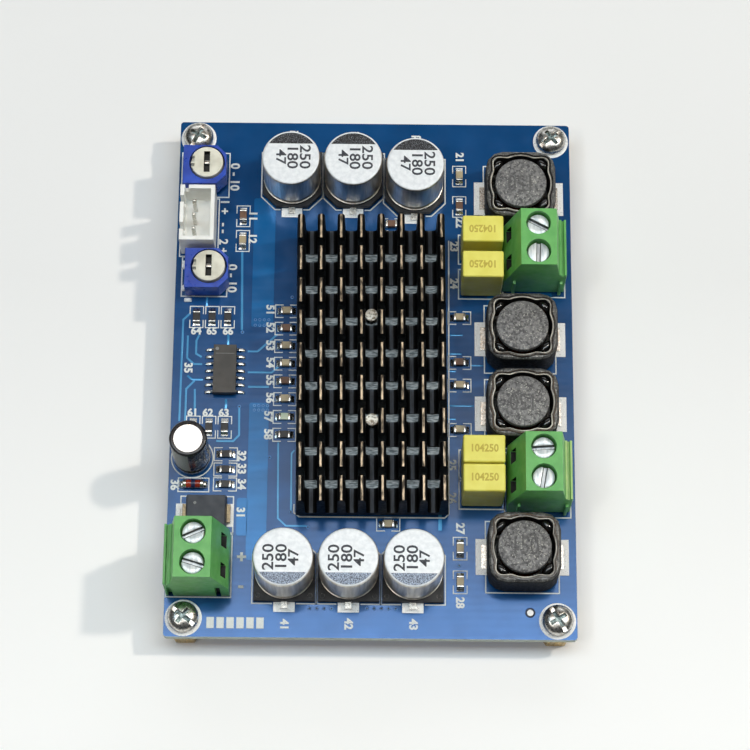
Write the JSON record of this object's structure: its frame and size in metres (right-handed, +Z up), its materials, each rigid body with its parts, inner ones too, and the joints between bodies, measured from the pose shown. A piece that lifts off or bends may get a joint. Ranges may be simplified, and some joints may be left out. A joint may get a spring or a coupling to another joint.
{
  "type": "audio amplifier board",
  "caption": "Stereo amplifier circuit board on standoffs, with a cross-cut pin-fin heatsink, screw terminals, shielded coils, can and film capacitors, volume trimmers and an input socket.",
  "frame": {"origin": "midway between the four standoffs, on the surface that the board stands on", "axes": "+Z up out of the board's component side, +Y along the board towards the edge with the volume trimmers and three of the can capacitors, +X towards the coils and the speaker terminals"},
  "size_m": [0.069, 0.0932, 0.0207],
  "materials": {
    "board": "glass-fibre laminate with a blue solder mask",
    "heatsink": "black anodised, cross-cut fins",
    "brass": "turned hexagon bar",
    "steel": "nickel plated",
    "black_plastic": "moulded, grained",
    "can": "drawn aluminium with a black printed segment",
    "ferrite": "grey coated ferrite",
    "ferrite_core": "grey ferrite drum with a copper winding inside its groove",
    "yellow_resin": "yellow resin",
    "terminal_green": "green moulded nylon",
    "clamp": "nickel plated cage",
    "trimmer_blue": "blue moulded",
    "dial_ivory": "ivory moulded",
    "socket_white": "white moulded",
    "sleeve": "black shrink sleeve round an aluminium can",
    "chip": "moulded epoxy"
  },
  "bodies": {
    "board_body": {"amplifier_chip": "chip", "capacitor_base_1": "black_plastic", "capacitor_base_2": "black_plastic", "capacitor_base_3": "black_plastic", "capacitor_base_4": "black_plastic", "capacitor_base_5": "black_plastic", "capacitor_base_6": "black_plastic", "capacitor_can_1": "can", "capacitor_can_2": "can", "capacitor_can_3": "can", "capacitor_can_4": "can", "capacitor_can_5": "can", "capacitor_can_6": "can", "circuit_board": "board", "coil_core_1": "ferrite_core", "coil_core_2": "ferrite_core", "coil_core_3": "ferrite_core", "coil_core_4": "ferrite_core", "coil_shield_1": "ferrite", "coil_shield_2": "ferrite", "coil_shield_3": "ferrite", "coil_shield_4": "ferrite", "corner_screw_1": "steel", "corner_screw_2": "steel", "corner_screw_3": "steel", "corner_screw_4": "steel", "film_capacitor_1": "yellow_resin", "film_capacitor_2": "yellow_resin", "film_capacitor_3": "yellow_resin", "film_capacitor_4": "yellow_resin", "heatsink": "heatsink", "heatsink_screw_1": "heatsink", "heatsink_screw_2": "heatsink", "input_socket": "socket_white", "left_speaker_terminal": "terminal_green", "power_diode": "chip", "power_terminal": "terminal_green", "preamp_chip": "chip", "right_speaker_terminal": "terminal_green", "small_capacitor": "sleeve", "standoff_1": "brass", "standoff_2": "brass", "standoff_3": "brass", "standoff_4": "brass", "trimmer_body_1": "trimmer_blue", "trimmer_body_2": "trimmer_blue"},
    "left_speaker_terminal_clamp_1": {"left_speaker_terminal_clamp_1": "clamp"},
    "left_speaker_terminal_clamp_2": {"left_speaker_terminal_clamp_2": "clamp"},
    "left_speaker_terminal_screw_1": {"left_speaker_terminal_screw_1": "steel"},
    "left_speaker_terminal_screw_2": {"left_speaker_terminal_screw_2": "steel"},
    "power_terminal_clamp_1": {"power_terminal_clamp_1": "clamp"},
    "power_terminal_clamp_2": {"power_terminal_clamp_2": "clamp"},
    "power_terminal_screw_1": {"power_terminal_screw_1": "steel"},
    "power_terminal_screw_2": {"power_terminal_screw_2": "steel"},
    "right_speaker_terminal_clamp_1": {"right_speaker_terminal_clamp_1": "clamp"},
    "right_speaker_terminal_clamp_2": {"right_speaker_terminal_clamp_2": "clamp"},
    "right_speaker_terminal_screw_1": {"right_speaker_terminal_screw_1": "steel"},
    "right_speaker_terminal_screw_2": {"right_speaker_terminal_screw_2": "steel"},
    "trimmer_dial_1": {"trimmer_dial_1": "dial_ivory"},
    "trimmer_dial_2": {"trimmer_dial_2": "dial_ivory"}
  },
  "joints": [
    {"name": "trimmer_dial_1_turn", "type": "hinge", "parent": "board_body", "child": "trimmer_dial_1", "pos_m": [-0.0293, 0.0367, 0.0072], "axis": [0, 0, 1], "range_deg": [-115, 115]},
    {"name": "trimmer_dial_2_turn", "type": "hinge", "parent": "board_body", "child": "trimmer_dial_2", "pos_m": [-0.02845, 0.0174, 0.0072], "axis": [0, 0, 1], "range_deg": [-115, 115]},
    {"name": "left_speaker_terminal_screw_1_turn", "type": "hinge", "parent": "board_body", "child": "left_speaker_terminal_screw_1", "pos_m": [0.0279, 0.02254, 0.0072], "axis": [0, 0, 1], "range_deg": [-1800, 0]},
    {"name": "left_speaker_terminal_clamp_1_rise", "type": "slide", "parent": "board_body", "child": "left_speaker_terminal_clamp_1", "axis": [0, 0, 1], "range_m": [0, 0.0025]},
    {"name": "left_speaker_terminal_screw_2_turn", "type": "hinge", "parent": "board_body", "child": "left_speaker_terminal_screw_2", "pos_m": [0.0279, 0.01746, 0.0072], "axis": [0, 0, 1], "range_deg": [-1800, 0]},
    {"name": "left_speaker_terminal_clamp_2_rise", "type": "slide", "parent": "board_body", "child": "left_speaker_terminal_clamp_2", "axis": [0, 0, 1], "range_m": [0, 0.0025]},
    {"name": "power_terminal_screw_1_turn", "type": "hinge", "parent": "board_body", "child": "power_terminal_screw_1", "pos_m": [-0.02905, -0.03206, 0.0072], "axis": [0, 0, 1], "range_deg": [-1800, 0]},
    {"name": "power_terminal_clamp_1_rise", "type": "slide", "parent": "board_body", "child": "power_terminal_clamp_1", "axis": [0, 0, 1], "range_m": [0, 0.0025]},
    {"name": "power_terminal_screw_2_turn", "type": "hinge", "parent": "board_body", "child": "power_terminal_screw_2", "pos_m": [-0.02905, -0.03714, 0.0072], "axis": [0, 0, 1], "range_deg": [-1800, 0]},
    {"name": "power_terminal_clamp_2_rise", "type": "slide", "parent": "board_body", "child": "power_terminal_clamp_2", "axis": [0, 0, 1], "range_m": [0, 0.0025]},
    {"name": "right_speaker_terminal_screw_1_turn", "type": "hinge", "parent": "board_body", "child": "right_speaker_terminal_screw_1", "pos_m": [0.0283, -0.01706, 0.0072], "axis": [0, 0, 1], "range_deg": [-1800, 0]},
    {"name": "right_speaker_terminal_clamp_1_rise", "type": "slide", "parent": "board_body", "child": "right_speaker_terminal_clamp_1", "axis": [0, 0, 1], "range_m": [0, 0.0025]},
    {"name": "right_speaker_terminal_screw_2_turn", "type": "hinge", "parent": "board_body", "child": "right_speaker_terminal_screw_2", "pos_m": [0.0283, -0.02214, 0.0072], "axis": [0, 0, 1], "range_deg": [-1800, 0]},
    {"name": "right_speaker_terminal_clamp_2_rise", "type": "slide", "parent": "board_body", "child": "right_speaker_terminal_clamp_2", "axis": [0, 0, 1], "range_m": [0, 0.0025]}
  ],
  "couplings": [
    {"joint": "left_speaker_terminal_screw_1_turn", "follows": "left_speaker_terminal_clamp_1_rise", "rad_per_m": -12566},
    {"joint": "left_speaker_terminal_screw_2_turn", "follows": "left_speaker_terminal_clamp_2_rise", "rad_per_m": -12566},
    {"joint": "power_terminal_screw_1_turn", "follows": "power_terminal_clamp_1_rise", "rad_per_m": -12566},
    {"joint": "power_terminal_screw_2_turn", "follows": "power_terminal_clamp_2_rise", "rad_per_m": -12566},
    {"joint": "right_speaker_terminal_screw_1_turn", "follows": "right_speaker_terminal_clamp_1_rise", "rad_per_m": -12566},
    {"joint": "right_speaker_terminal_screw_2_turn", "follows": "right_speaker_terminal_clamp_2_rise", "rad_per_m": -12566}
  ]
}
